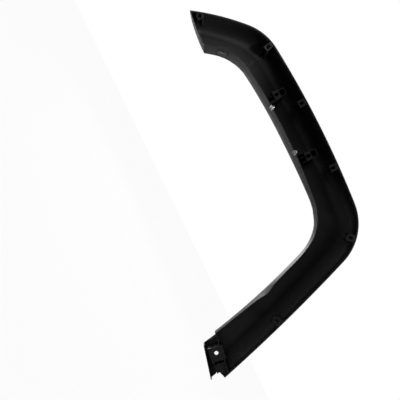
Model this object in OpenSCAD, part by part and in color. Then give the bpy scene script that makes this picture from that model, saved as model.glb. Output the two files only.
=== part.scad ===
// Front right-hand wheel arch trim: a moulded channel that follows the wheel opening, closed
// at both ends, with clip towers along its rim and lip and a screw tab at the rear end.
// It is drawn lying on its outer face. x runs to the rear of the car and y runs up. The plane
// that meets the body side is z = 0, and the channel's depth lies below it. The last step
// stands it up, so that z runs up and the depth runs along +y.

/* [Outer edge] */
// Slope of the outer edge at the front tip, in degrees above level
tip_slope = 56.7; // [50:0.1:62]
// Length of the front leg along its outer edge
front_leg = 163; // [150:1:190]
// Angle that the front leg bows through
front_leg_bow = 13.4; // [8:0.1:18]
// Length of the bend above the front leg
front_bend = 100; // [90:1:120]
// Angle of the bend above the front leg
front_bend_angle = 37.5; // [32:0.1:41]
// Length of the run over the wheel
top_run = 471; // [430:1:520]
// Angle that the run over the wheel bows through
top_bow = 10.1; // [6:0.1:14]
// Length of the bend above the rear leg
rear_bend = 168; // [160:1:190]
// Angle of the bend above the rear leg
rear_bend_angle = 64.7; // [58:0.1:67]
// Length of the rear leg, as far as its lowest corner
rear_leg = 499; // [470:1:530]
// Angle that the rear leg bows through
rear_leg_bow = 5.9; // [2:0.1:10]

/* [Lip] */
// Length of the front end's cut, from the tip to the lip
front_cut = 100.5; // [94:0.5:106]
// Direction of the front end's cut, in degrees below level
front_cut_fall = 3.5; // [0:0.5:8]
// Angle between the lip and the outer edge's tip
lip_slant = 2.8; // [0:0.1:5]
// Length by which the lip's front leg is shorter than the outer edge's
front_leg_less = 135; // [125:1:140]
// Angle by which the lip's front leg bows less
front_bow_less = 12.4; // [8:0.1:13]
// Length by which the lip's bend above the front leg is longer
front_bend_more = 16; // [8:1:24]
// Angle by which the lip's bend above the front leg turns more
front_turn_more = 8.8; // [6:0.1:11]
// Length by which the lip's run over the wheel is shorter
top_less = 77; // [70:1:84]
// Angle by which the lip's run over the wheel bows more
top_bow_more = 2; // [0:0.1:4]
// Length by which the lip's bend above the rear leg is shorter
rear_bend_less = 13; // [6:1:20]
// Angle by which the lip's bend above the rear leg turns less
rear_turn_less = 0.7; // [-1:0.1:3]
// Length by which the lip's rear leg is shorter
rear_leg_less = 130; // [120:1:140]
// Angle by which the lip's rear leg bows more
rear_bow_more = 4.3; // [2:0.1:6]

/* [Section] */
// Wall thickness of the moulding
wall = 2.8; // [2.4:0.1:3.4]
// Width of the bead along the rim
rim_w = 4.2; // [3.6:0.1:6]
// Height of the bead along the rim
rim_h = 4; // [2:0.5:8]
// Depth of the channel over the wheel
arch_depth = 82; // [72:0.5:90]
// Depth of the channel below the rear bend
leg_depth = 39; // [35:0.5:46]
// Depth of the channel at the rear end
end_depth = 28; // [26:0.5:34]
// Lean of the lip's wall away from square
lip_draft = 1.2; // [0.5:0.1:3]
// Radius of the corner between face and lip
lip_corner = 6; // [5:0.5:8]
// Share of the depth that the rim's wall stands nearly square
rim_wall_share = 0.34; // [0.25:0.01:0.45]
// Width of the shoulder that turns the rim's wall into the face
shoulder_w = 30; // [24:1:36]
// Distance of the crease from the outer edge
crease_in = 48; // [44:0.5:52]
// Distance of the crease from the outer edge at its rear end
crease_in_rear = 56; // [52:0.5:60]
// Height of the crease over the face
crease_h = 2.4; // [1.5:0.1:3]
// Height of the crease at the front end
crease_front_h = 4; // [3:0.1:5]
// Width of the crease's slope over the wheel
crease_w = 2.6; // [2:0.1:5]
// Width of the crease's slope at the front end
crease_front_w = 13; // [8:0.5:16]
// Width of the crease's slope below the rear bend
crease_leg_w = 11; // [8:0.5:12]

/* [Ends] */
// Bulge of the front end's wall
front_bulge = 2.7; // [0:0.1:6]
// Width of the shoulder of the front end's wall at the tip
front_shoulder = 14; // [8:1:20]
// Distance of the screw hole along the outer edge from the rear leg's lowest corner
screw_back = 77; // [70:1:85]
// Distance of the screw hole from the outer edge
screw_in = 65; // [60:0.5:70]
// Diameter of the screw hole
screw_d = 11; // [6:0.5:14]
// Angle between the outer edge and the tab's own level
tab_turn = 66; // [62:0.5:70]
// Length of the screw pad along the tab
pad_l = 39.5; // [34:0.5:42]
// Height of the screw pad
pad_h = 40; // [34:0.5:42]
// Distance by which the screw hole sits forward of the pad's middle
pad_shift = 2.8; // [0:0.1:5]
// Thickness of the screw pad
pad_t = 3; // [2.5:0.1:4]

/* [Clip towers] */
// Width of a plain clip tower on the rim
tower_w = 19; // [17:0.5:22]
// Reach of a plain clip tower from the rim
tower_reach = 24.5; // [23:0.5:30]
// Thickness of a clip tower's walls
tower_wall = 2.4; // [1.8:0.1:3]
// Thickness of the plate at a clip tower's top
plate_t = 2.6; // [2:0.1:3.5]
// Width of a clip slot
slot_w = 8.6; // [7:0.1:10]
// Length of a clip slot
slot_l = 11.6; // [10:0.1:12.6]
// Distance from the outer edge to the middle of a clip slot
slot_in = 15.6; // [15:0.1:17]
// Distance from the outer edge to the middle of an inner tower's slot
inner_slot_in = 63.5; // [60:0.5:67]
// Distance from an inner tower to the liner nut beside it
nut_gap = 24.5; // [23:0.5:28]

/* [Liner nuts] */
// Thickness of the steel
steel_t = 0.9; // [0.7:0.1:1.2]
// Width of a liner nut
nut_w = 13; // [11:0.5:15]
// Length of a liner nut's outer leg
nut_leg = 24; // [20:0.5:28]
// Outer diameter of the threaded barrel
barrel_d = 8; // [7.5:0.1:9]
// Length of the threaded barrel
barrel_l = 7; // [5:0.5:9]
// Bore of the threaded barrel
thread_d = 6; // [5:0.1:6.4]
// Clearance between a liner nut and the lip on each side
nut_play = 0.1; // [0.05:0.05:0.3]

/* [Hidden] */

plastic = [0.09, 0.09, 0.095];
steel = [0.78, 0.79, 0.8];
over = 1;
deep = arch_depth + 2 * over;

// Places along the outer edge, measured from the front tip
s_bend = front_leg;
s_top = s_bend + front_bend;
s_rear = s_top + top_run;
s_leg = s_rear + rear_bend;
s_end = s_leg + rear_leg;
s_screw = s_end - screw_back;
lead = 30;
// How much the face rises towards the crease
face_rise = 0.45;

// Each run of the outer edge and of the lip: its length and the angle that it turns down
// through. The lip's start at the front end's cut, seen from the front tip
runs = [
    [front_leg, front_leg_bow],
    [front_bend, front_bend_angle],
    [top_run, top_bow],
    [rear_bend, rear_bend_angle],
    [rear_leg, rear_leg_bow]
];
lip_runs = [
    [front_leg - front_leg_less, front_leg_bow - front_bow_less],
    [front_bend + front_bend_more, front_bend_angle + front_turn_more],
    [top_run - top_less, top_bow + top_bow_more],
    [rear_bend - rear_bend_less, rear_bend_angle - rear_turn_less],
    [rear_leg - rear_leg_less, rear_leg_bow + rear_bow_more]
];
lip_from = front_cut * [cos(front_cut_fall), -sin(front_cut_fall)];

// The waves in the lip's edge on the rear leg: place, half-length, height
waves = [[s_leg + 43, 50, -1.7], [s_leg + 218, 100, 3], [s_leg + 206, 34, 5.5]];
wave_share = 0.45;

// Direction square to the edge, into the band
function inward(h) = [sin(h), -cos(h)];
function along_arc(p, h, run, s) =
    let(r = run[0] * 180 / (run[1] * PI))
    p + r * (inward(h) - inward(h - run[1] * s / run[0]));

// Point and heading of the outer edge at the distance s from the tip
function edge_at(s, k = 0, p = [0, 0], h = tip_slope) =
    s <= runs[k][0] || k == len(runs) - 1
    ? [along_arc(p, h, runs[k], s), h - runs[k][1] * s / runs[k][0]]
    : edge_at(s - runs[k][0], k + 1, along_arc(p, h, runs[k], runs[k][0]), h - runs[k][1]);
function band_at(s, v) = let(e = edge_at(s)) e[0] + v * inward(e[1]);

// Smooth change from 0 to 1 between two places
function ease(from, to, s) =
    let(t = min(1, max(0, (s - from) / (to - from))))
    t * t * (3 - 2 * t);

// Width of the band at s: where the square line from the outer edge meets the lip
function width_at(s, k = 0, p = lip_from, h = tip_slope - lip_slant) =
    let(
        run = lip_runs[k],
        e = edge_at(s),
        out = inward(e[1]),
        to = p + run[0] * 180 / (run[1] * PI) * inward(h) - e[0],
        w = to * out - sqrt(max(0, pow(to * out, 2) - to * to + pow(run[0] * 180 / (run[1] * PI), 2))),
        back = to - w * out
    )
    k == len(lip_runs) - 1 || atan2(back[0], -back[1]) > h - run[1]
    ? w
    : width_at(s, k + 1, along_arc(p, h, run, run[0]), h - run[1]);
function depth_at(s) =
    arch_depth
    + (leg_depth - arch_depth) * ease(s_top + 217, s_leg - 52, s)
    + (end_depth - leg_depth) * ease(s_leg - 52, s_end - 60, s);
function lip_lean(s) = (depth_at(s) - lip_corner) * tan(lip_draft) * ease(s_top - 60, s_top + 150, s);
function lip_near(s) = width_at(s) - lip_lean(s);
function crease_at(s) = crease_in + (crease_in_rear - crease_in) * ease(s_rear - 114, s_rear - 14, s);
function crease_high(s) = crease_front_h + (crease_h - crease_front_h) * ease(60, 210, s);
function crease_wide(s) =
    crease_front_w
    + (crease_w - crease_front_w) * ease(60, 210, s)
    + (crease_leg_w - crease_w) * ease(s_rear, s_rear + 90, s);
function shoulder_at(s) = shoulder_w + 12 * ease(s_rear + 40, s_leg + 60, s);
function wave_at(s, k = 0) =
    k == len(waves) ? 0
    : waves[k][2] * ease(0, 1, 1 - abs(s - waves[k][0]) / waves[k][1]) + wave_at(s, k + 1);

// The face's section from the rim round to the lip's edge: distance in from the edge, depth
function face_line(s) =
    let(
        w = width_at(s),
        d = depth_at(s),
        near = lip_near(s),
        rim_d = rim_wall_share * d,
        top = crease_at(s),
        c = [w - lip_corner, d - lip_corner]
    )
    concat(
        [[0, 0]],
        [for (a = [0 : 18 : 90])
            [rim_d * tan(1) + shoulder_at(s) * (1 - cos(a)), rim_d + (d - face_rise - rim_d) * sin(a)]],
        [
            [top - crease_wide(s), d - 2 * face_rise],
            [top, d - crease_high(s)],
            [c[0] - 4, d - face_rise / 2]
        ],
        [for (a = [0 : 30 : 90]) c + lip_corner * [sin(a), cos(a)]],
        [[near + wave_share * lip_lean(s), wave_share * d], [near - wave_at(s), 0]]
    );

// The same line moved by t towards the hollow
function unit(p) = p / norm(p);
function hollow_side(a, b) = let(u = unit(b - a)) [u[1], -u[0]];
function moved(line, t) =
    let(n = len(line) - 1)
    [for (k = [0 : n])
        let(
            before = k == 0 ? [1, 0] : hollow_side(line[k - 1], line[k]),
            after = k == n ? [-1, 0] : hollow_side(line[k], line[k + 1]),
            m = unit(before + after)
        )
        line[k] + (k == 0 ? [t, 0] : k == n ? [-t, 0] : m * t / (m * after))];

// The moulding's wall at s, as one closed ring
function wall_ring(s) =
    let(face = face_line(s), back = moved(face, wall), n = len(back) - 1)
    concat(
        face,
        [for (k = [n : -1 : 1]) back[k]],
        [[wall, rim_h + 1], [rim_w, rim_h], [rim_w, 0]]
    );
// The space that the wall encloses, open past the body side. It starts part of the way into
// the wall, so that what stands in the channel is rooted in the wall.
root = 0.5 * wall;
front_root = 0.3 * wall;
function core_ring(s, into) =
    let(line = moved(face_line(s), wall - into), n = len(line) - 1)
    concat([[line[0][0], -over]], line, [[line[n][0], -over]]);

function on_band(s, ring) = [for (q = ring) let(p = band_at(s, q[0])) [p[0], p[1], -q[1]]];
function spread(from, to, n) = [for (k = [0 : n - 1]) from + (to - from) * k / n];
stations = concat(
    spread(-lead, 0, 1), spread(0, s_bend, 9), spread(s_bend, s_top, 12), spread(s_top, s_rear, 20),
    spread(s_rear, s_leg, 18), spread(s_leg, s_leg + 20, 2), spread(s_leg + 20, s_leg + 240, 20),
    spread(s_leg + 240, s_end, 8), [s_end]
);
function between(from, to) = concat([from], [for (s = stations) if (s > from && s < to) s], [to]);

// Skin through a row of rings with equally many points. Its ends are closed by fans round
// their middles, or by the faces in cap.
function middle(ring) = [for (r = ring) 1] * ring / len(ring);
module skin(rings, cap = []) {
    n = len(rings);
    m = len(rings[0]);
    last = (n - 1) * m;
    fans = cap == [];
    polyhedron(
        points = concat([for (r = rings) each r], fans ? [middle(rings[0]), middle(rings[n - 1])] : []),
        faces = concat(
            fans ? [for (j = [0 : m - 1]) [(j + 1) % m, j, n * m]]
            : [for (f = cap) [for (k = [len(f) - 1 : -1 : 0]) f[k]]],
            fans ? [for (j = [0 : m - 1]) [last + j, last + (j + 1) % m, n * m + 1]]
            : [for (f = cap) [for (k = f) last + k]],
            [for (i = [0 : n - 2], j = [0 : m - 1])
                let(a = i * m + j, b = i * m + (j + 1) % m)
                each [[a, b, b + m], [a, b + m, a + m]]]
        ),
        convexity = 6
    );
}
// The channel's own wall. Its ends are closed across the wall, point by point.
module channel() {
    n = len(face_line(0)) - 1;
    skin(
        [for (s = stations) on_band(s, wall_ring(s))],
        concat(
            [[0, 1, 2 * n, 2 * n + 1], [0, 2 * n + 1, 2 * n + 2, 2 * n + 3]],
            [for (k = [1 : n - 1]) [k, k + 1, 2 * n - k, 2 * n + 1 - k]]
        )
    );
}
module core(from, to, into = root) {
    skin([for (s = between(from, to)) on_band(s, core_ring(s, into))]);
}

// Local axes at a place on the outer edge: x along it, y away from the band
module at_edge(s) {
    e = edge_at(s);
    translate(e[0]) rotate(e[1]) children();
}
// Local axes on the lip: y = 0 is its wheel side, z = 0 its edge
module on_lip(s) {
    at_edge(s) translate([0, -lip_near(s), 0])
        rotate([-atan(lip_lean(s) / (depth_at(s) - lip_corner)), 0, 0]) children();
}
// Local axes at the screw hole: x along the tab, y towards the channel
screw_at = band_at(s_screw, screw_in);
module on_tab() {
    translate(screw_at) rotate(edge_at(s_screw)[1] + tab_turn) children();
}
module slab(from, to) {
    translate([0, 0, -to]) linear_extrude(to - from) children();
}

// Everything below the front end's wall, moved in by t. The wall turns into the face in a
// shoulder like the rim's at the tip, and in a small one at the lip.
function face_depth(v) = let(rim_d = rim_wall_share * arch_depth)
    rim_d + (arch_depth - rim_d) * sqrt(1 - pow(max(0, 1 - v / shoulder_w), 2));
module below_front(t) {
    fall = 1.5 * front_cut;
    rotate(-front_cut_fall)
        skin([for (k = concat([-0.4], [for (k = [0 : 0.1 : 1]) k], [1.4]))
            let(
                part = min(1, max(0, k)),
                y = -4 * front_bulge * part * (1 - part),
                rise = front_shoulder + (lip_corner - front_shoulder) * ease(0.2, 1, part),
                far = face_depth(part * front_cut * cos(90 - tip_slope - front_cut_fall)),
                tall = min(far - over, far * (0.45 - 0.3 * ease(0.2, 1, part)))
            )
            concat(
                [[k * front_cut, y + t, over]],
                [for (a = [0 : 18 : 90])
                    [k * front_cut, y + t + (rise - t) * (1 - cos(a)), tall - far - (tall - t) * sin(a)]],
                [[k * front_cut, y + rise, -deep - 5], [k * front_cut, y - fall, -deep - 5],
                    [k * front_cut, y - fall, over]]
            )]);
}
module front_wall() {
    difference() {
        intersection() {
            core(-lead / 2, s_bend, front_root);
            below_front(wall);
            slab(0, deep) square(2 * s_top, center = true);
        }
        below_front(-over);
    }
}

// A hollow clip tower on the rim, open towards the lip, with a gable if it has one
module rim_tower(t) {
    s = t[0];
    w = t[1];
    reach = t[2];
    tip = reach + t[3];
    from = min(rim_w + tower_wall, t[5] - slot_l / 2);
    difference() {
        intersection() {
            at_edge(s) slab(0, deep)
                polygon([[-w / 2, -1], [w / 2, -1], [w / 2, -reach], [t[4], -tip], [-w / 2, -reach]]);
            core(s - w, s + w);
        }
        at_edge(s) slab(plate_t, deep + over)
            translate([tower_wall - w / 2, -tip - over]) square([w - 2 * tower_wall, tip + over - from]);
    }
}
module rim_slot(t) {
    at_edge(t[0]) slab(-over, plate_t + over) translate([0, -t[5]]) square([slot_w, slot_l], center = true);
}

// Each rim tower: place, width, reach, gable, lean of the gable's point, place of the slot
rim_towers = [
    [29, 20, 13.5, 10.5, -1, 10.6],
    [s_top - 16, 15, tower_reach + 1.5, 1, -2, slot_in],
    [s_top + 164, tower_w, tower_reach, 0, 0, slot_in],
    [s_top + 359, tower_w, tower_reach, 0, 0, slot_in + 1],
    [s_leg - 69, 20, tower_reach - 2, 6.5, 6, slot_in + 1],
    [s_leg + 241, 21, 20, 12, 0, slot_in + 1.5]
];

// An inner tower: a slotted plate over its half by the lip, an open half behind it, and two
// ribs that tie it to the lip
inner_towers = [s_top + 110, s_top + 301];
inner_w = 20;
inner_plate = [inner_slot_in - 9, inner_slot_in + 8.5];
inner_open = 19;
inner_open_down = 12;
inner_open_wall = 1.8;
module inner_tower(s) {
    w = inner_w;
    near = inner_plate[1];
    far = inner_plate[0] - inner_open;
    wide = w + 5;
    inside = w - 2 * tower_wall;
    difference() {
        intersection() {
            at_edge(s) union() {
                slab(0, deep)
                    polygon([
                        [-w / 2, -inner_plate[0]], [w / 2, -inner_plate[0]],
                        [wide / 2, -near], [-wide / 2, -near]
                    ]);
                slab(inner_open_down, deep)
                    translate([-w / 2, -inner_plate[0] - over]) square([w, inner_open + over]);
            }
            core(s - wide, s + wide);
        }
        at_edge(s) {
            slab(plate_t, deep + over)
                translate([-inside / 2, tower_wall - near])
                    square([inside, near - far - tower_wall - inner_open_wall]);
            slab(-over, deep + over)
                translate([inner_open_wall - w / 2, tower_wall - inner_plate[0]])
                    square([w - 2 * inner_open_wall, inner_open - tower_wall - inner_open_wall]);
            slab(-over, plate_t + over)
                translate([0, -inner_slot_in]) square([slot_w, slot_l], center = true);
        }
    }
    tie_ribs(s, near);
}
// Ribs between an inner tower and the lip, each with a crest half-way
rib_t = 1.8;
rib_down = 9;
rib_crest = 8;
module tie_ribs(s, near) {
    lip_v = lip_near(s) - wall / 2;
    crest = (near + lip_v) / 2;
    for (x = [-3, inner_w / 2])
        intersection() {
            at_edge(s) translate([x + rib_t / 2, 0, 0]) rotate([90, 0, -90])
                linear_extrude(rib_t)
                    polygon([
                        [near - over, -rib_down],
                        [crest - rib_crest / 2, -over],
                        [crest + rib_crest / 2, -over],
                        [lip_v, -rib_down],
                        [lip_v, -deep],
                        [near - over, -deep]
                    ]);
            core(s - inner_w, s + inner_w);
        }
}

// A low rib on the face, from the second rim tower's foot slantwise to the crease
face_rib_h = 3.5;
face_rib_w = 2.2;
module face_rib() {
    s = rim_towers[1][0];
    line = [[12, -22], [2.4, -32], [-9, -crease_in - over]];
    intersection() {
        at_edge(s) slab(depth_at(s) - wall - crease_h - face_rib_h, deep)
            polygon(concat(line, [for (k = [2 : -1 : 0]) line[k] + [face_rib_w, 0]]));
        core(s - 1.5 * inner_w, s + inner_w);
    }
}

// The clip tower on the lip: it stands out towards the wheel at the body side and runs back
// into the lip at the face. Its hollow opens into the channel.
s_lip_tower = s_bend - 46;
lip_tower_w = 25;
lip_tower_in = 5.5;
lip_tower_out = 9;
lip_slot_out = 4.6;
lip_slot = [10, 5];
lip_tower_v = lip_near(s_lip_tower);
lip_tower_d = depth_at(s_lip_tower) - lip_corner - 2;
lip_tower_far = width_at(s_lip_tower) - 0.4;
// Turns a drawing of the section at s, w wide, upright
module across(s, w) {
    at_edge(s) rotate([90, 0, -90]) translate([0, 0, -w / 2]) linear_extrude(w) children();
}
module lip_tower() {
    across(s_lip_tower, lip_tower_w)
        polygon([
            [lip_tower_v - 1, 0],
            [lip_tower_v + lip_tower_out, 0],
            [lip_tower_far, -lip_tower_d],
            [lip_tower_far - over, -lip_tower_d]
        ]);
    intersection() {
        across(s_lip_tower, lip_tower_w)
            translate([lip_tower_v - lip_tower_in, -deep]) square([lip_tower_in, deep]);
        core(s_lip_tower - lip_tower_w, s_lip_tower + lip_tower_w);
    }
}
module lip_tower_hollow() {
    across(s_lip_tower, lip_tower_w - 2 * tower_wall)
        polygon([
            [lip_tower_v - lip_tower_in - over, -plate_t],
            [lip_tower_v + lip_tower_out - tower_wall, -plate_t],
            [lip_tower_far - tower_wall, -lip_tower_d],
            [lip_tower_v - lip_tower_in - over, -lip_tower_d - lip_corner]
        ]);
    at_edge(s_lip_tower) slab(-over, plate_t + over)
        translate([0, -lip_tower_v - lip_slot_out]) square(lip_slot, center = true);
}

// The seat of a liner nut in the lip, and the hole for its screw
nut_seat = 0.4;
nut_side = 0.5;
nut_drop = 1.2;
nut_hole_down = 12;
nut_hole_d = 8;
nut_hole_play = 0.5;
beyond = 5;
nut_places = [inner_towers[0] + nut_gap, inner_towers[1] - nut_gap];
module nut_seat_cut(s) {
    seat_w = nut_w + 2 * nut_side;
    seat_l = nut_leg + 2 * nut_side;
    on_lip(s) {
        translate([-seat_w / 2, -beyond, -seat_l]) cube([seat_w, beyond + nut_seat, seat_l + beyond]);
        translate([-seat_w / 2, wall - nut_seat, -seat_l]) cube([seat_w, beyond, seat_l + beyond]);
        translate([-seat_w / 2, -beyond, -nut_drop]) cube([seat_w, wall + 2 * beyond, 2 * beyond]);
        translate([0, wall + beyond, -nut_hole_down]) rotate([90, 0, 0])
            cylinder(h = wall + 2 * beyond, d = nut_hole_d, $fn = 48);
    }
}

// The end of the channel: its wall, the tab below it and the tab's pads
tab_wall_up = 13;
tab_half_l = 70;
tab_low = [[-29.5, -26.8], [64, -36.5]];
tab_side_x = -42.8;
pad_mid = [pad_shift, 0.7];
// The tab's outline below the wall, and above it all that belongs to the channel
module tab_keep() {
    polygon([
        [-tab_half_l, 60], [-tab_half_l, tab_wall_up], [tab_side_x, tab_wall_up],
        tab_low[0], tab_low[1],
        [66.5, -32.5], [80, 10], [120, 60]
    ]);
}
module tab_end_cut() {
    on_tab() slab(-2 * beyond, deep) {
        difference() {
            translate([-2 * tab_half_l, -2 * tab_half_l]) square([4 * tab_half_l, 2 * tab_half_l + 30]);
            tab_keep();
        }
        notch();
    }
}
// The notch in the lower corner, round at its inner end
notch_mid = [58.4, -10.8];
notch_r = 5;
module notch() {
    translate(notch_mid) circle(r = notch_r, $fn = 48);
    polygon([[53.9, -13], [59.8, -20.2], [65.6, -35.2], [90, -44], [100, 4], [71.8, 1.8], [57.8, -5.9]]);
}
module tab_walls() {
    intersection() {
        on_tab() slab(0, deep) {
            translate([-tab_half_l, tab_wall_up]) square([2 * tab_half_l, wall]);
            polygon([tab_low[0], tab_low[1], tab_low[1] + [0, wall], tab_low[0] + [0, wall]]);
        }
        core(s_screw - 110, s_end);
    }
}
module pad_outline(inset) {
    translate(pad_mid) square([pad_l - 2 * inset, pad_h - 2 * inset], center = true);
}
// The small pad between the tab's side edge and the screw pad, with a round lower end
side_pad_w = 14.5;
side_pad_down = 12;
side_pad_top = 8;
side_pad_at = [-28.4, 0];
side_pad_turn = 12.8;
module side_pad(inset) {
    half = side_pad_w / 2 - inset;
    intersection() {
        translate(side_pad_at) rotate(side_pad_turn) {
            translate([0, half + inset - side_pad_down]) circle(r = half, $fn = 48);
            translate([-half, half + inset - side_pad_down]) square([2 * half, tab_half_l]);
        }
        translate([-tab_half_l, -tab_half_l]) square([tab_half_l, tab_half_l + tab_wall_up + over - inset]);
    }
}
// The boss by the notch, with a raised ridge round it
boss_left = 30;
boss_low = -15;
boss_high = 14;
boss_top = 4;
boss_ridge_top = 1.2;
boss_ridge_w = 3.6;
module notch_boss(inset) {
    r = 7 - inset / 2;
    left = boss_left + inset;
    low = boss_low + inset;
    translate([left + r, low + r]) circle(r = r, $fn = 48);
    translate([left, low + r]) square([tab_half_l, boss_high - boss_low - r - inset]);
    translate([left + r, low]) square([tab_half_l, r + inset + over]);
}
module tab_bosses() {
    intersection() {
        on_tab() {
            slab(0, deep) pad_outline(0);
            slab(end_depth - side_pad_top, deep) side_pad(0);
            slab(boss_top, deep) notch_boss(0);
            slab(boss_ridge_top, boss_top + wall) difference() {
                notch_boss(0);
                notch_boss(boss_ridge_w);
            }
        }
        core(s_screw - 110, s_end);
    }
}
module tab_hollows() {
    on_tab() {
        slab(pad_t, deep) pad_outline(wall);
        slab(end_depth - side_pad_top + wall, deep) side_pad(wall);
        slab(boss_top + wall, deep) intersection() {
            notch_boss(wall);
            translate([0, boss_low])
                square([notch_mid[0] - notch_r + over, boss_high - boss_low - wall - over]);
        }
        slab(-over, pad_t + over) circle(d = screw_d, $fn = 64);
    }
}

module arch_trim() {
    color(plastic)
    difference() {
        union() {
            channel();
            front_wall();
            face_rib();
            tab_walls();
            tab_bosses();
            for (t = rim_towers) rim_tower(t);
            for (s = inner_towers) inner_tower(s);
            lip_tower();
        }
        below_front(0);
        for (t = rim_towers) rim_slot(t);
        lip_tower_hollow();
        for (s = nut_places) nut_seat_cut(s);
        tab_end_cut();
        tab_hollows();
    }
}

// A sheet steel nut that clips over the lip's edge, with its thread in the channel
module liner_nut(s) {
    gap_low = nut_seat - nut_play;
    gap_high = wall - nut_seat + nut_play;
    inner_leg = nut_leg - beyond + over;
    top = -nut_drop + nut_play;
    color(steel)
    on_lip(s) difference() {
        union() {
            translate([-nut_w / 2, gap_low - steel_t, -nut_leg]) cube([nut_w, steel_t, nut_leg + top]);
            translate([-nut_w / 2, gap_high, -inner_leg]) cube([nut_w, steel_t, inner_leg + top]);
            translate([-nut_w / 2, gap_low - steel_t, top])
                cube([nut_w, gap_high - gap_low + 2 * steel_t, steel_t]);
            translate([0, gap_high + barrel_l, -nut_hole_down]) rotate([90, 0, 0])
                cylinder(h = barrel_l, d = barrel_d, $fn = 48);
        }
        translate([0, gap_high + barrel_l + over, -nut_hole_down]) rotate([90, 0, 0])
            cylinder(h = barrel_l + 2 * over, d = thread_d, $fn = 48);
        translate([0, gap_low + over, -nut_hole_down]) rotate([90, 0, 0])
            cylinder(h = steel_t + 2 * over, d = thread_d + 2 * nut_hole_play, $fn = 48);
    }
}

// Stands the drawing up with the screw hole at the origin
module on_car() {
    rotate([90, 0, 0]) translate([-screw_at[0], -screw_at[1], 0]) children();
}

on_car() arch_trim();
on_car() liner_nut(nut_places[0]);  // front_liner_nut
on_car() liner_nut(nut_places[1]);  // rear_liner_nut
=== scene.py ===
"""Dresses the wheel arch trim: a black moulded channel with two sheet steel liner nuts.

Everything is in metres, in the frame of the model: +X to the rear of the car, +Y outboard, +Z up,
with the origin at the screw hole of the rear tab, on the plane that meets the body side.
"""

import math

import bmesh
import bpy
from mathutils import Matrix, Vector
from mathutils.bvhtree import BVHTree


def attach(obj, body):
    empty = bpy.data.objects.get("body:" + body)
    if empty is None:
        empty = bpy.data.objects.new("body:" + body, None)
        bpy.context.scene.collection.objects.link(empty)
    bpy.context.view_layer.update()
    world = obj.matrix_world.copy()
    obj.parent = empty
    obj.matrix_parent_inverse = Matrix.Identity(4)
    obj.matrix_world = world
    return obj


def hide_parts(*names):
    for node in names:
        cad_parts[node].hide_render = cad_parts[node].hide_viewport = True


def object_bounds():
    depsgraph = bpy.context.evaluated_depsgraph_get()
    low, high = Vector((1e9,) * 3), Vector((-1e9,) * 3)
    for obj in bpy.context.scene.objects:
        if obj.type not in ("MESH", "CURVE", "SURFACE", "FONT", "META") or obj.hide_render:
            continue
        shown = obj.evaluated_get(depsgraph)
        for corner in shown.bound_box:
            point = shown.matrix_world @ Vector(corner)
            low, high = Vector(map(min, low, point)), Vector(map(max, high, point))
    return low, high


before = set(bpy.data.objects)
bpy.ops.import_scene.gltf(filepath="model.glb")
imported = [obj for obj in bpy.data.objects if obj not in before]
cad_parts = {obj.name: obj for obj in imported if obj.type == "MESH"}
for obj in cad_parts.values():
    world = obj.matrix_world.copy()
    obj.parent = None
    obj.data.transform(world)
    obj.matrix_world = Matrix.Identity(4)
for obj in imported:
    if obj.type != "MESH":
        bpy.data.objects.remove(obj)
cad_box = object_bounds()

MM = 0.001

# Camera: square to the body side, level with the middle of the wheel opening, and rolled so that
# the rear leg points down the picture
CAMERA_AT = Vector((-390.9, -1300, 141.4)) * MM
CAMERA_ROLL = math.radians(64)
PICTURE_WIDTH = 1080 * MM
SENSOR = 36

# The floor, and the share of plain white that the camera sees on it
FLOOR_BELOW = 90 * MM
FLOOR_WIDTH = 8
FLOOR_WHITE = 0.96

# The room: its own faint light, and the pale part that the plastic mirrors at a glancing angle
ROOM_LIGHT = 0.04
PALE_TOWARDS = (-1.2, 0.8, 0)
PALE_FROM, PALE_TO, PALE_MOST = 0.55, 1.1, 3.0

# Lamps. A direction is given along the picture's right, its up and the way back to the camera
KEY_FROM, KEY_POWER = (0.83, -0.47, 0.31), 80
FRONT_FROM, FRONT_POWER = (0.42, -0.26, 0.87), 36
TOP_FROM, TOP_POWER = (0.2, 0.4, 0.89), 2
BEHIND_AT, BEHIND_POWER = Vector((-1.5, 1.5, 0.5)), 160
LAMP_DISTANCE = 2.2
FRONT_DISTANCE = 1.4
FRONT_POCKET = Vector((-768, 40, 396)) * MM
REAR_LEG = Vector((-80, 40, 120)) * MM

# Share of the finest grain in the grained mould's relief
FINE_GRAIN_SHARE = 0.5

# Finishing of the meshes
MERGE_WITHIN = 0.005 * MM
MOULDING_SHARP = 38
NUT_SHARP = 40
NUT_EDGE = 0.2 * MM

# How far a face of the channel looks across a hollow before it meets the trim again, how far off
# the face the look starts, and the turn towards the body from which a face counts as inside
HOLLOW_REACH = 150 * MM
LOOK_START = 0.02 * MM
INSIDE_TURN = -0.3


def colour(hex_code):
    """A linear colour from an sRGB hex code."""
    parts = [int(hex_code[i:i + 2], 16) / 255 for i in (1, 3, 5)]
    return [c / 12.92 if c <= 0.04045 else ((c + 0.055) / 1.055) ** 2.4 for c in parts] + [1]


def add(tree, kind, settings=None, **links):
    """Adds a node to a tree, with its settings, values and links.

    A setting whose name is one of the node's own goes on the node, any other on its socket.
    """
    node = tree.nodes.new(kind)
    for name, value in (settings or {}).items():
        if hasattr(node, name):
            setattr(node, name, value)
        else:
            node.inputs[name].default_value = value
    for name, source in links.items():
        tree.links.new(source, node.inputs[name.replace("_", " ")])
    return node


def new_material(name):
    material = bpy.data.materials.new(name)
    material.use_nodes = True
    material.node_tree.nodes.clear()
    return material, material.node_tree


def finish_material(tree, shader):
    add(tree, "ShaderNodeOutputMaterial", Surface=shader.outputs[0])


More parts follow.
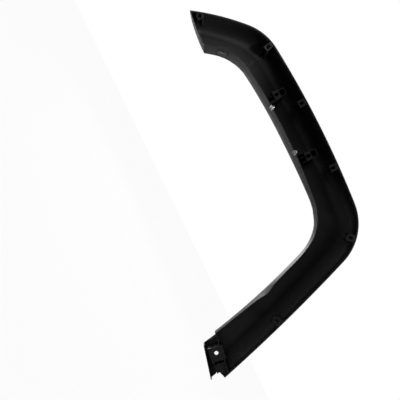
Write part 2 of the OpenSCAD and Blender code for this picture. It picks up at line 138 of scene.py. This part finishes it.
# Black polypropylene as it comes from a grained mould: the light breaks up on a fine leathery
# grain into a dull, even sheen. The real grain's cells are about 1 mm wide, too fine to show, and
# are drawn 2.2 mm wide
def grained_polypropylene():
    material, tree = new_material("polypropylene_grained_mould")
    place = add(tree, "ShaderNodeTexCoord").outputs["Object"]
    grain = add(tree, "ShaderNodeTexVoronoi", {"feature": "SMOOTH_F1", "Scale": 1 / (2.2 * MM),
                "Smoothness": 0.6}, Vector=place)
    fine = add(tree, "ShaderNodeTexNoise", {"Scale": 1 / (0.9 * MM), "Detail": 2}, Vector=place)
    relief = add(tree, "ShaderNodeMath", {"operation": "MULTIPLY_ADD"})
    relief.inputs[1].default_value = FINE_GRAIN_SHARE
    tree.links.new(fine.outputs["Fac"], relief.inputs[0])
    tree.links.new(grain.outputs["Distance"], relief.inputs[2])
    bump = add(tree, "ShaderNodeBump", {"Strength": 0.35, "Distance": 0.25 * MM},
               Height=relief.outputs[0])
    cloud = add(tree, "ShaderNodeTexNoise", {"Scale": 1 / (60 * MM), "Detail": 4}, Vector=place)
    rough = add(tree, "ShaderNodeMapRange", {"To Min": 0.42, "To Max": 0.52},
                Value=cloud.outputs["Fac"])
    shader = add(tree, "ShaderNodeBsdfPrincipled", {"Base Color": colour("#232324"), "IOR": 1.49},
                 Normal=bump.outputs[0], Roughness=rough.outputs["Result"])
    finish_material(tree, shader)
    return material


# The same plastic off the plain core of the mould: no grain, and a flat satin surface that gives
# soft, wide highlights and faint flow marks
def satin_polypropylene():
    material, tree = new_material("polypropylene_satin_mould")
    place = add(tree, "ShaderNodeTexCoord").outputs["Object"]
    flow = add(tree, "ShaderNodeTexNoise", {"Scale": 1 / (35 * MM), "Detail": 5, "Roughness": 0.55},
               Vector=place)
    bump = add(tree, "ShaderNodeBump", {"Strength": 0.15, "Distance": 0.6 * MM},
               Height=flow.outputs["Fac"])
    rough = add(tree, "ShaderNodeMapRange", {"To Min": 0.46, "To Max": 0.58},
                Value=flow.outputs["Fac"])
    shader = add(tree, "ShaderNodeBsdfPrincipled", {"Base Color": colour("#202021"), "IOR": 1.49},
                 Normal=bump.outputs[0], Roughness=rough.outputs["Result"])
    finish_material(tree, shader)
    return material


# Zinc plated sheet steel, rolled and stamped: bright and slightly cloudy
def zinc_plated_steel():
    material, tree = new_material("zinc_plated_stamped_steel")
    place = add(tree, "ShaderNodeTexCoord").outputs["Object"]
    cloud = add(tree, "ShaderNodeTexNoise", {"Scale": 1 / (4 * MM), "Detail": 3}, Vector=place)
    tint = add(tree, "ShaderNodeMix", {"data_type": "RGBA"}, Factor=cloud.outputs["Fac"])
    tint.inputs[6].default_value = colour("#d3d4d2")
    tint.inputs[7].default_value = colour("#eceded")
    rough = add(tree, "ShaderNodeMapRange", {"To Min": 0.22, "To Max": 0.4},
                Value=cloud.outputs["Fac"])
    shader = add(tree, "ShaderNodeBsdfPrincipled", {"Metallic": 1.0},
                 Roughness=rough.outputs["Result"])
    tree.links.new(tint.outputs[2], shader.inputs["Base Color"])
    finish_material(tree, shader)
    return material


def merged_copy(node, name, sharp):
    """A copy of a node's mesh with its doubles merged, smooth up to the angle sharp, in degrees."""
    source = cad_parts[node]
    mesh = source.data.copy()
    mesh.name = name
    piece = bpy.data.objects.new(name, mesh)
    bpy.context.collection.objects.link(piece)
    shape = bmesh.new()
    shape.from_mesh(mesh)
    bmesh.ops.remove_doubles(shape, verts=shape.verts, dist=MERGE_WITHIN)
    for face in shape.faces:
        face.smooth = True
    for edge in shape.edges:
        if len(edge.link_faces) == 2:
            edge.smooth = edge.calc_face_angle(math.pi) < math.radians(sharp)
    shape.to_mesh(mesh)
    shape.free()
    return piece


def dressed(node, name, materials, sharp):
    """Shows a finished copy of a node in its place."""
    piece = merged_copy(node, name, sharp)
    piece.data.materials.clear()
    for material in materials:
        piece.data.materials.append(material)
    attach(piece, "root")
    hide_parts(node)
    return piece


def grain_outside(piece):
    """Gives the mould's grain to the faces that don't look into the channel or a hollow."""
    shape = bmesh.new()
    shape.from_mesh(piece.data)
    tree = BVHTree.FromBMesh(shape)
    for face in shape.faces:
        start = face.calc_center_median() + face.normal * LOOK_START
        hit = tree.ray_cast(start, face.normal, HOLLOW_REACH)[0]
        outside = hit is None and face.normal.y > INSIDE_TURN
        face.material_index = 0 if outside else 1
    shape.to_mesh(piece.data)
    shape.free()


def moulding():
    piece = dressed("arch_trim", "moulded_channel",
                    [grained_polypropylene(), satin_polypropylene()], MOULDING_SHARP)
    grain_outside(piece)
    return piece


def liner_nuts():
    steel = zinc_plated_steel()
    for end in ("front", "rear"):
        piece = dressed(end + "_liner_nut", end + "_sheet_nut", [steel], NUT_SHARP)
        edges = piece.modifiers.new("rolled_edges", "BEVEL")
        edges.width = NUT_EDGE
        edges.segments = 2
        edges.limit_method = "ANGLE"


def floor():
    bpy.ops.mesh.primitive_plane_add(size=FLOOR_WIDTH, location=(0, 0, 0))
    plane = bpy.context.object
    plane.name = "studio_floor"
    plane.location = (cad_box[0].x / 2, 0, cad_box[0].z - FLOOR_BELOW)
    material, tree = new_material("pale_floor_paint")
    path = add(tree, "ShaderNodeLightPath")
    lit = add(tree, "ShaderNodeBsdfDiffuse", {"Color": colour("#e6e6e6")})
    white = add(tree, "ShaderNodeEmission", {"Color": (1, 1, 1, 1)})
    share = add(tree, "ShaderNodeMath", {"operation": "MULTIPLY"})
    share.inputs[1].default_value = FLOOR_WHITE
    tree.links.new(path.outputs["Is Camera Ray"], share.inputs[0])
    seen = add(tree, "ShaderNodeMixShader", Fac=share.outputs[0])
    tree.links.new(lit.outputs[0], seen.inputs[1])
    tree.links.new(white.outputs[0], seen.inputs[2])
    finish_material(tree, seen)
    plane.data.materials.append(material)


def surroundings():
    """White where the camera looks past the object, a dim grey room for everything else.

    What the plastic mirrors at a glancing angle lies behind the object: there the room is pale,
    the more so towards the front of the car, and on the camera's side it is dark.
    """
    world = bpy.data.worlds.new("studio")
    bpy.context.scene.world = world
    world.use_nodes = True
    tree = world.node_tree
    tree.nodes.clear()
    path = add(tree, "ShaderNodeLightPath")
    way = add(tree, "ShaderNodeTexCoord").outputs["Generated"]
    towards = add(tree, "ShaderNodeVectorMath", {"operation": "DOT_PRODUCT"})
    towards.inputs[1].default_value = PALE_TOWARDS
    tree.links.new(way, towards.inputs[0])
    glow = add(tree, "ShaderNodeMapRange", {"From Min": PALE_FROM, "From Max": PALE_TO, "To Min": 0,
               "To Max": PALE_MOST}, Value=towards.outputs["Value"])
    room = add(tree, "ShaderNodeMix", {"data_type": "FLOAT"})
    room.inputs[2].default_value = ROOM_LIGHT
    tree.links.new(path.outputs["Is Glossy Ray"], room.inputs[0])
    tree.links.new(glow.outputs["Result"], room.inputs[3])
    level = add(tree, "ShaderNodeMath", {"operation": "MAXIMUM"})
    tree.links.new(room.outputs[0], level.inputs[0])
    tree.links.new(path.outputs["Is Camera Ray"], level.inputs[1])
    sky = add(tree, "ShaderNodeBackground", {"Color": (1, 1, 1, 1)}, Strength=level.outputs[0])
    add(tree, "ShaderNodeOutputWorld", Surface=sky.outputs[0])


def picture_axes():
    """The picture's right and up, and the way back to the camera, in the model's frame."""
    right = Vector((math.cos(CAMERA_ROLL), 0, math.sin(CAMERA_ROLL)))
    up = Vector((-math.sin(CAMERA_ROLL), 0, math.cos(CAMERA_ROLL)))
    return right, up, Vector((0, -1, 0))


def camera():
    right, up, back = picture_axes()
    data = bpy.data.cameras.new("camera")
    data.sensor_width = SENSOR
    data.lens = SENSOR * -CAMERA_AT.y / PICTURE_WIDTH
    data.clip_end = 100
    eye = bpy.data.objects.new("camera", data)
    bpy.context.collection.objects.link(eye)
    turn = Matrix((right, up, back)).transposed().to_4x4()
    eye.matrix_world = Matrix.Translation(CAMERA_AT) @ turn
    bpy.context.scene.camera = eye


def placed_lamp(name, kind, place, target, power):
    data = bpy.data.lights.new(name, kind)
    data.energy = power
    thing = bpy.data.objects.new(name, data)
    bpy.context.collection.objects.link(thing)
    thing.location = place
    thing.rotation_mode = "QUATERNION"
    thing.rotation_quaternion = (target - place).to_track_quat("-Z", "Y")
    return data


def softbox(name, place, target, size, power):
    data = placed_lamp(name, "AREA", place, target, power)
    data.shape = "DISK"
    data.size = size


def spot(name, place, target, radius, opening, blend, power):
    data = placed_lamp(name, "SPOT", place, target, power)
    data.shadow_soft_size = radius
    data.spot_size = math.radians(opening)
    data.spot_blend = blend


def lamps():
    """Lights the trim as the photograph does.

    A low key light from the picture's lower right grazes the rim and the towers and leaves the
    channel dark. A narrow one falls into the front pocket, a soft one comes from the picture's top,
    and one stands behind, past the front end, for the outer face and the rear leg's lip.
    """
    axes = picture_axes()
    middle = (cad_box[0] + cad_box[1]) / 2

    def off(parts, distance):
        right, up, back = (axis * part for axis, part in zip(axes, parts))
        return (right + up + back) * distance

    spot("key", middle + off(KEY_FROM, LAMP_DISTANCE), middle,
         radius=0.35, opening=38, blend=0.25, power=KEY_POWER)
    spot("front", FRONT_POCKET + off(FRONT_FROM, FRONT_DISTANCE), FRONT_POCKET,
         radius=0.06, opening=14, blend=0.8, power=FRONT_POWER)
    softbox("top", middle + off(TOP_FROM, LAMP_DISTANCE), middle, size=0.8, power=TOP_POWER)
    spot("behind", BEHIND_AT, REAR_LEG, radius=0.25, opening=50, blend=0.5, power=BEHIND_POWER)


def main():
    bpy.context.scene.view_settings.view_transform = "Standard"
    moulding()
    liner_nuts()
    floor()
    surroundings()
    camera()
    lamps()


main()
